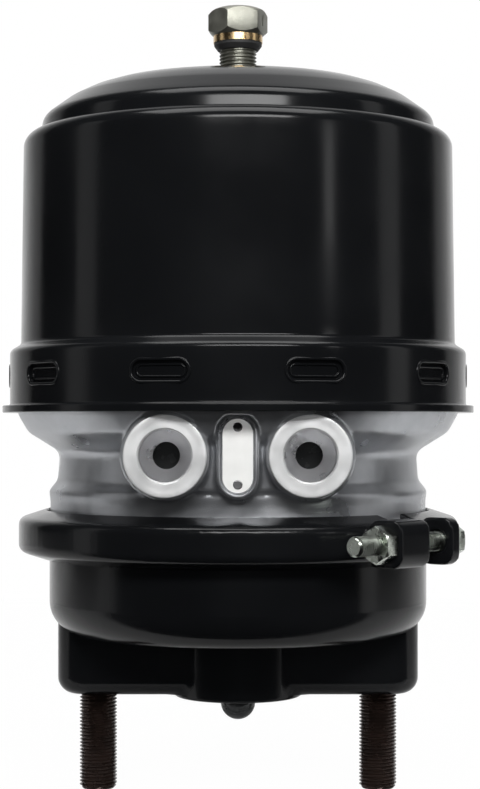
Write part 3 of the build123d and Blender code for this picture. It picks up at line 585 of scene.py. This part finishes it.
# Length, width, depth under the skirt and half thickness of the two edges round each dimple
OUTER_EDGE = (24.4, 9.0, 0.35, 0.75)
FLOOR_RIDGE = (20.4, 4.6, DIMPLE_DEPTH + 0.1, 0.55)
FRONT = -90             # azimuth of the ports' side, which lies between two dimples


def on_skirt(piece, azimuth, length, width, depth):
    """Pulls a round piece out to an oval and lays it on the skirt, pressed in by a depth."""
    for vertex in piece.data.vertices:
        side = 1 if vertex.co.x > 0 else -1
        along = vertex.co.x + side * (length - width) / 2 * MM
        radius = (SKIRT_RADIUS - depth) * MM + vertex.co.z
        angle = radians(azimuth) + along / (SKIRT_RADIUS * MM)
        vertex.co = (radius * cos(angle), radius * sin(angle), DIMPLE_HEIGHT * MM + vertex.co.y)


def oval_edge(azimuth, length, width, depth, size):
    """Rounded oval edge on the skirt."""
    bpy.ops.mesh.primitive_torus_add(major_segments=48, minor_segments=12,
                                     major_radius=width / 2 * MM, minor_radius=size * MM)
    edge = bpy.context.object
    on_skirt(edge, azimuth, length, width, depth)
    clean(edge)
    return edge


cup = spun("pressed_cup", CUP_OUTSIDE + CUP_INSIDE, 240, longest=4.0)
cutters = []
edges = []
for index in range(DIMPLES):
    azimuth = FRONT + (index + 0.5) * 360 / DIMPLES
    bpy.ops.mesh.primitive_cylinder_add(vertices=48, radius=DIMPLE_WIDTH / 2 * MM,
                                        depth=2 * DIMPLE_DEPTH * MM)
    cutter = bpy.context.object
    on_skirt(cutter, azimuth, DIMPLE_LENGTH, DIMPLE_WIDTH, 0)
    cutters.append(cutter)
    edges.append(oval_edge(azimuth, *OUTER_EDGE))
    edges.append(oval_edge(azimuth, *FLOOR_RIDGE))
combine(cup, join("dimple_cutters", *cutters), "DIFFERENCE")
clean(cup, angle=30)
hand_over(cup, enamel, BODY, "black_paint", "spring_housing")
dimple_edges = join("dimple_edges", *edges)
hand_over(dimple_edges, enamel, BODY, "black_paint")

# %% [markdown]
# ## The plate's frame
#
# The plate lies in a pocket with a raised rim. The remesh has softened that rim, so it is modelled
# again: a cylinder is stretched to a rounded bar by moving its upper and lower halves apart, and the
# pocket is cut out with a smaller one.

# %% Stretching a round bar
PLATE_LENGTH = 28.8
PLATE_WIDTH = 11.8
PLATE_FACE_Y = -86.0
FRAME_FRONT = PLATE_FACE_Y - 0.5
FRAME_BACK = PLATE_FACE_Y + 1.7
POCKET_FLOOR = PLATE_FACE_Y + 1.3
POCKET_GAP = 1.5        # how much longer and wider than the plate its pocket is
FRAME_EDGE = 0.35


def rounded_bar(name, length, width, front, back):
    """Upright bar with round ends between two depths on the port side."""
    bpy.ops.mesh.primitive_cylinder_add(vertices=64, radius=width / 2 * MM, depth=abs(back - front) * MM,
                                        location=(0, (front + back) / 2 * MM, PORT_Z),
                                        rotation=(pi / 2, 0, 0))
    bar = bpy.context.object
    bar.name = name
    settle(bar)
    shift = (length - width) / 2 * MM
    for vertex in bar.data.vertices:
        vertex.co.z += shift if vertex.co.z > PORT_Z else -shift
    return bar


plate_frame = rounded_bar("plate_frame", PLATE_LENGTH + 4.0, PLATE_WIDTH + 3.8, FRAME_FRONT, FRAME_BACK)
pocket = rounded_bar("pocket", PLATE_LENGTH + POCKET_GAP, PLATE_WIDTH + POCKET_GAP,
                     PLATE_FACE_Y - 3, POCKET_FLOOR)
combine(plate_frame, pocket, "DIFFERENCE")
apply_modifier(plate_frame, "BEVEL", width=FRAME_EDGE * MM, segments=3, limit_method="ANGLE",
               angle_limit=radians(40))
clean(plate_frame, angle=40)
hand_over(plate_frame, casting, BODY, "cast_aluminium")

# %% [markdown]
# ## Studs and screws
#
# The studs carry a fine thread from end to end, and a pressed shank and a head hold them in the pad.
# The bolts are a thread and a hexagon each. A hexagon's corners are turned off, which leaves an arc on
# every flat, so each one is cut down to a turned blank.

# %% Mounting studs
M16 = (16, 1.5)         # diameter and pitch
M8 = (8, 1.25)
STUD_X = 60.325
STUD_REACH = 42.0
STUD_HEAD = [(0, -0.5), (7.2, -0.5), (8.45, 0.02), (8.45, 2.98), (9.95, 3.02), (9.95, 8.9, 1), (0, 8.9)]

studs = []
for side in (-1, 1):
    thread = threaded_bar(f"stud_{side}", *M16, -STUD_REACH, 0.0, chamfer=1.4, steps=48)
    head = spun(f"stud_head_{side}", STUD_HEAD, 64)
    stud = join(f"stud_{side}", thread, head)
    place(stud, Matrix.Translation((side * STUD_X * MM, 0, 0)))
    studs.append(stud)
mounting_studs = join("threaded_studs", *studs)
hand_over(mounting_studs, stud_steel, BODY, "dark_steel", "mounting_studs")

# %% Release bolt
HEAD_BASE = 282.2
HEAD_HEIGHT = 12.0
HEAD_FLATS = 22.5
HEAD_TURN = 10          # azimuth of its first corner
HEAD_BLANK = [(0, HEAD_BASE), (10.6, HEAD_BASE), (13.1, HEAD_BASE + 2.3), (13.1, HEAD_BASE + 8.8),
              (11.3, HEAD_BASE + 10.9, 5), (8.4, HEAD_BASE + HEAD_HEIGHT, 4),
              (0, HEAD_BASE + HEAD_HEIGHT)]
BOLT_END = 126.5
NICK_TURN = radians(-20)
NICK_AWAY = 11.3
NICK_HEIGHT = HEAD_BASE + 6.5

release_thread = threaded_bar("release_thread", *M16, BOLT_END, HEAD_BASE + 1.5)
release_head = hexagon("release_head", HEAD_FLATS, HEAD_BASE, HEAD_HEIGHT, HEAD_TURN, HEAD_BLANK)
bpy.ops.mesh.primitive_cone_add(vertices=4, radius1=0.9 * MM, radius2=0, depth=5.2 * MM,
                                location=(NICK_AWAY * cos(NICK_TURN) * MM,
                                          NICK_AWAY * sin(NICK_TURN) * MM, NICK_HEIGHT * MM))
nick = bpy.context.object
settle(nick)
combine(release_head, nick, "DIFFERENCE")
clean(release_head, angle=30)
release_bolt = join("hexagon_release_bolt", release_head, release_thread)
hand_over(release_bolt, bolt_steel, "release_bolt_group", "zinc_steel", "release_bolt")

# %% Clamp bolt and nut
SCREW_AZIMUTH = -42
SCREW_AWAY = 100
SCREW_HEIGHT = 68
CLAMP_PLACE = (Matrix.Rotation(radians(SCREW_AZIMUTH), 4, "Z")
               @ Matrix.Translation((SCREW_AWAY * MM, 0, SCREW_HEIGHT * MM))
               @ Matrix.Rotation(pi / 2, 4, "X"))
# Along the bolt, in millimetres
BOLT_SEAT = -13.0
BOLT_HEAD = 5.3
BOLT_TIP = 45.5
NUT_BASE = 26.0
NUT_HEIGHT = 6.5
SCREW_FLATS = 13
SCREW_TURN = 30
NUT_BORE = 4.05         # radius


def screw_blank(base, height):
    """Outline that turns off both ends of a 13 mm hexagon."""
    return [(0, base), (6.6, base), (7.6, base + 0.6), (7.6, base + height - 0.6), (6.6, base + height),
            (0, base + height)]


clamp_thread = threaded_bar("clamp_thread", *M8, BOLT_SEAT - 1.5, BOLT_TIP, chamfer=0.8, steps=32)
clamp_head = hexagon("clamp_head", SCREW_FLATS, BOLT_SEAT - BOLT_HEAD, BOLT_HEAD, SCREW_TURN,
                     screw_blank(BOLT_SEAT - BOLT_HEAD, BOLT_HEAD))
clamp_bolt = join("hexagon_clamp_bolt", clamp_head, clamp_thread)
clamp_nut = hexagon("hexagon_clamp_nut", SCREW_FLATS, NUT_BASE, NUT_HEIGHT, SCREW_TURN,
                    screw_blank(NUT_BASE, NUT_HEIGHT))
bore = spun("nut_bore", [(0, NUT_BASE - 1), (NUT_BORE, NUT_BASE - 1), (NUT_BORE, NUT_BASE + 8),
                         (0, NUT_BASE + 8)], 48)
combine(clamp_nut, bore, "DIFFERENCE")
clean(clamp_nut, angle=30)
for piece, node_name in ((clamp_bolt, "clamp_bolt"), (clamp_nut, "clamp_nut")):
    place(piece, CLAMP_PLACE)
    hand_over(piece, zinc, BODY, "zinc_steel", node_name)

# %% [markdown]
# ## Studio and camera
#
# The photo was taken level, with the chamber nearly filling a tall frame on white. A long lens at the
# same distance gives the same ring curves. The horizon lies a little under the middle of the frame,
# so the camera stays level and the lens is shifted.

# %% Camera
PHOTO_WIDTH = 480
PHOTO_HEIGHT = 789
METRES_PER_PIXEL = 0.432 * MM
CAMERA_DISTANCE = 830 * MM
HORIZON_ROW = 427
FACE_ROW = 690          # row of the face that bolts to the caliper
AXIS_COLUMN = 238
SENSOR = 36

camera_data = bpy.data.cameras.new("camera")
camera = bpy.data.objects.new("camera", camera_data)
bpy.context.scene.collection.objects.link(camera)
camera_data.sensor_fit = "VERTICAL"
camera_data.sensor_height = SENSOR
camera_data.lens = SENSOR * CAMERA_DISTANCE / (PHOTO_HEIGHT * METRES_PER_PIXEL)
camera_data.shift_y = (HORIZON_ROW - PHOTO_HEIGHT / 2) / PHOTO_HEIGHT
camera.location = ((PHOTO_WIDTH / 2 - AXIS_COLUMN) * METRES_PER_PIXEL, -CAMERA_DISTANCE,
                   (FACE_ROW - HORIZON_ROW) * METRES_PER_PIXEL)
camera.rotation_euler = (pi / 2, 0, 0)
bpy.context.scene.camera = camera
print("camera height in mm:", round(camera.location.z / MM, 1))

# %% [markdown]
# ## A white room that lights nothing
#
# Gloss black mirrors whatever stands round it. A white room would turn the steel grey, and a black one
# would hide its shape. So the floor and the wall glow only for the camera and in reflections, and the
# glow fades where the photo's steel stays black. In other directions the steel mirrors a dark room.

# %% Background and floor
# In metres, apart from the shares
STUDIO = 1.4            # half width of the floor and the wall
FLOOR_FRONT = -0.08     # where the floor starts
WALL_DISTANCE = 0.9     # the wall hides the object from a camera that stands behind it
FLOOR_SHARE = 0.985     # share of the floor's white that glows, where the rest takes the shadow
BRIGHT_MIDDLE = 0.42    # half width of the wall's fully bright part
DIM_SIDES = 0.95        # half width at which only the dim share is left
DIM_SHARE = 0.12
NEAR_FLOOR = 0.25       # up to here the floor's glow isn't mirrored
FAR_FLOOR = 0.8         # from here all of it is
ROOM = 0.009            # brightness of the dark room
LOW_ROOM = 0.1          # share of it that is left below
BEHIND = (0.75, 0.95)   # share of a direction along +Y where the mirrored white begins and is whole
BELOW = (-0.15, 0.1)    # share of a direction along +Z where the dark room grows to its brightness
FLOOR_HEIGHT = cad_box[0][2]


def light_paths(tree):
    """Value that is 1 for what the camera sees, straight or through a reflection or glass."""
    path = tree.nodes.new("ShaderNodeLightPath")
    reflected = tree.nodes.new("ShaderNodeMath")
    reflected.operation = "MAXIMUM"
    tree.links.new(path.outputs["Is Glossy Ray"], reflected.inputs[0])
    tree.links.new(path.outputs["Is Transmission Ray"], reflected.inputs[1])
    return path.outputs["Is Camera Ray"], reflected.outputs[0]


def fade(tree, axis, near, far, at_near, at_far):
    """Value that changes with the distance along one axis, on either side of the middle."""
    where = tree.nodes.new("ShaderNodeTexCoord")
    split = tree.nodes.new("ShaderNodeSeparateXYZ")
    distance = tree.nodes.new("ShaderNodeMath")
    distance.operation = "ABSOLUTE"
    change = tree.nodes.new("ShaderNodeMapRange")
    change.interpolation_type = "SMOOTHSTEP"
    change.inputs["From Min"].default_value = near
    change.inputs["From Max"].default_value = far
    change.inputs["To Min"].default_value = at_near
    change.inputs["To Max"].default_value = at_far
    tree.links.new(where.outputs["Object"], split.inputs[0])
    tree.links.new(split.outputs[axis], distance.inputs[0])
    tree.links.new(distance.outputs[0], change.inputs["Value"])
    return change.outputs["Result"]


def seen_level(tree, shown, reflected, mask):
    """Whole for the camera, and masked for reflections."""
    masked = tree.nodes.new("ShaderNodeMath")
    masked.operation = "MULTIPLY"
    whole = tree.nodes.new("ShaderNodeMath")
    whole.operation = "MAXIMUM"
    tree.links.new(reflected, masked.inputs[0])
    tree.links.new(mask, masked.inputs[1])
    tree.links.new(masked.outputs[0], whole.inputs[0])
    tree.links.new(shown, whole.inputs[1])
    return whole.outputs[0]


def bright_to_view(name, share, *mask):
    """White surface that looks lit to the camera and in reflections, but still takes some shadow."""
    material = bpy.data.materials.new(name)
    material.use_nodes = True
    tree = material.node_tree
    surface = tree.nodes["Principled BSDF"]
    surface.inputs["Base Color"].default_value = (0.9, 0.9, 0.9, 1)
    surface.inputs["Roughness"].default_value = 0.9
    glow = tree.nodes.new("ShaderNodeEmission")
    shown, reflected = light_paths(tree)
    level = tree.nodes.new("ShaderNodeMath")
    level.operation = "MULTIPLY"
    level.inputs[1].default_value = share
    blend = tree.nodes.new("ShaderNodeMixShader")
    tree.links.new(seen_level(tree, shown, reflected, fade(tree, *mask)), level.inputs[0])
    tree.links.new(level.outputs[0], blend.inputs[0])
    tree.links.new(surface.outputs[0], blend.inputs[1])
    tree.links.new(glow.outputs[0], blend.inputs[2])
    tree.links.new(blend.outputs[0], tree.nodes["Material Output"].inputs["Surface"])
    return material


bpy.ops.mesh.primitive_plane_add(size=1, location=(0, 0, 0))
floor = bpy.context.object
floor.name = "floor"
floor.scale = (2 * STUDIO, WALL_DISTANCE - FLOOR_FRONT, 1)
floor.location = (0, (WALL_DISTANCE + FLOOR_FRONT) / 2, FLOOR_HEIGHT)
settle(floor)
paint(floor, bright_to_view("floor white", FLOOR_SHARE, "Y", NEAR_FLOOR, FAR_FLOOR, 0.0, 1.0))
bpy.ops.mesh.primitive_plane_add(size=2 * STUDIO, location=(0, WALL_DISTANCE, FLOOR_HEIGHT + STUDIO),
                                 rotation=(pi / 2, 0, 0))
wall = bpy.context.object
wall.name = "wall"
settle(wall)
paint(wall, bright_to_view("wall white", 1.0, "X", BRIGHT_MIDDLE, DIM_SIDES, 1.0, DIM_SHARE))

print("floor height in mm:", round(FLOOR_HEIGHT / MM, 1))


# %% The room beyond
def stretched(tree, value, before, after):
    """Value mapped in a straight line from one range to another."""
    change = tree.nodes.new("ShaderNodeMapRange")
    change.inputs["From Min"].default_value = before[0]
    change.inputs["From Max"].default_value = before[1]
    change.inputs["To Min"].default_value = after[0]
    change.inputs["To Max"].default_value = after[1]
    tree.links.new(value, change.inputs["Value"])
    return change


def light_world():
    """World that is white to the camera and in reflections from behind, and a dark room otherwise."""
    world = bpy.data.worlds.new("studio")
    bpy.context.scene.world = world
    world.use_nodes = True
    tree = world.node_tree
    sky = tree.nodes["Background"]
    sky.inputs["Color"].default_value = (1, 1, 1, 1)
    where = tree.nodes.new("ShaderNodeTexCoord")
    direction = tree.nodes.new("ShaderNodeSeparateXYZ")
    tree.links.new(where.outputs["Generated"], direction.inputs[0])
    behind = stretched(tree, direction.outputs["Y"], BEHIND, (0.0, 1.0))
    room = stretched(tree, direction.outputs["Z"], BELOW, (LOW_ROOM * ROOM, ROOM))
    shown, reflected = light_paths(tree)
    whole = seen_level(tree, shown, reflected, behind.outputs["Result"])
    level = stretched(tree, whole, (0.0, 1.0), (0.0, 1.0))
    tree.links.new(room.outputs["Result"], level.inputs["To Min"])
    tree.links.new(level.outputs["Result"], sky.inputs["Strength"])


light_world()
bpy.context.scene.view_settings.view_transform = "Standard"

# %% [markdown]
# ## Soft boxes
#
# A wide box above lights the dome, and tall narrow ones light the sides. A box over the camera lights
# the ports and the casting, and a weak fill that no surface mirrors lifts their shadows.


# %% Lamps
def softbox(name, location, target, width, height, watts):
    """Rectangular lamp aimed at a point."""
    lamp = bpy.data.lights.new(name, "AREA")
    lamp.shape = "RECTANGLE"
    lamp.size = width
    lamp.size_y = height
    lamp.energy = watts
    holder = bpy.data.objects.new(name, lamp)
    bpy.context.scene.collection.objects.link(holder)
    holder.location = location
    holder.rotation_euler = (Vector(target) - Vector(location)).to_track_quat("-Z", "Y").to_euler()
    return holder


MIDDLE = (0, 0, 0.12)   # what all lamps are aimed at
softbox("top box", (0, -0.25, 1.0), MIDDLE, 1.0, 0.5, 11)
softbox("camera box", (0.1, -1.1, 0.68), MIDDLE, 0.9, 0.22, 12)
fill = softbox("fill", (0.05, -1.1, 0.12), MIDDLE, 0.5, 0.4, 3)
fill.visible_glossy = False
softbox("front strip", (0.86, -0.83, 0.4), MIDDLE, 0.1, 0.22, 0.3)
softbox("left box", (-1.05, -0.15, 0.3), MIDDLE, 0.25, 0.9, 0.6)
softbox("right box", (1.05, -0.15, 0.3), MIDDLE, 0.25, 0.9, 0.8)
print("lamps:", len(bpy.data.lights))
